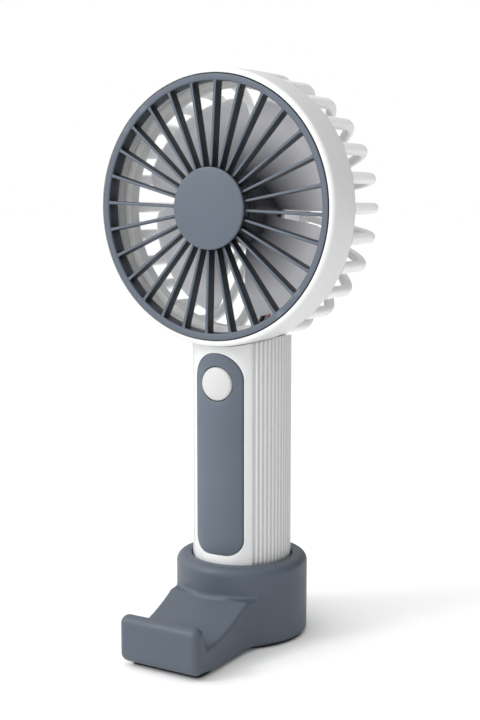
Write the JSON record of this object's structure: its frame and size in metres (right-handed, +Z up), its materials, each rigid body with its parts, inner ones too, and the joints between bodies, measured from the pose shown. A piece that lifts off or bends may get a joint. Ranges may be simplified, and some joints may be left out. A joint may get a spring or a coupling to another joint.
{
  "type": "handheld fan",
  "caption": "Rechargeable handheld fan with a finned round head and fluted handle, standing in a lift-off cradle that has a phone rest.",
  "frame": {"origin": "on the handle's axis at the underside of the stand's round foot", "axes": "+Z up along the handle, -Y the way the grille faces and the phone rest reaches, +X to the right of someone facing the grille"},
  "size_m": [0.0964, 0.0796, 0.204],
  "materials": {
    "white_plastic": "satin",
    "slate_plastic": "satin",
    "black_plastic": "satin",
    "black_rubber": "matte",
    "board_green": "satin",
    "nickel": "bright",
    "cell_wrap": "gloss",
    "red_lead": "gloss",
    "black_lead": "gloss",
    "steel": "brushed",
    "bronze": "satin",
    "ferrite": "matte",
    "lamination_steel": "satin",
    "copper": "satin"
  },
  "bodies": {
    "stand": {"stand_body": "slate_plastic", "stand_foot": "black_rubber", "lip_foot": "black_rubber"},
    "fan_body": {"handle_front_shell": "white_plastic", "handle_rear_shell": "white_plastic", "handle_bottom_cap": "white_plastic", "grip_panel": "slate_plastic", "neck_screw": "steel", "cap_screw_left": "steel", "cap_screw_right": "steel", "circuit_board": "board_green", "tact_switch": "black_plastic", "usb_port": "nickel", "battery_cell": "cell_wrap", "battery_contact_top": "nickel", "battery_contact_bottom": "nickel", "motor_lead_red": "red_lead", "motor_lead_black": "black_lead", "front_grille": "slate_plastic", "centre_cap": "slate_plastic", "head_housing": "white_plastic", "rear_cage": "white_plastic", "motor_can": "steel", "motor_end_cap": "black_plastic", "motor_bush_front": "bronze", "motor_bush_rear": "bronze", "motor_magnet_upper": "ferrite", "motor_magnet_lower": "ferrite"},
    "rotor": {"impeller": "white_plastic", "motor_shaft": "steel", "armature_core": "lamination_steel", "armature_winding_1": "copper", "armature_winding_2": "copper", "armature_winding_3": "copper"},
    "button": {"power_button": "white_plastic"}
  },
  "joints": [
    {"name": "fan_lift", "type": "slide", "parent": "stand", "child": "fan_body", "axis": [0, 0, 1], "range_m": [0, 0.045]},
    {"name": "rotor_spin", "type": "hinge", "parent": "fan_body", "child": "rotor", "pos_m": [0, 0, 0.1558], "axis": [0, -1, 0], "continuous": true},
    {"name": "button_press", "type": "slide", "parent": "fan_body", "child": "button", "axis": [0, 1, 0], "range_m": [0, 0.0005], "stiffness_N_per_m": 1500}
  ]
}
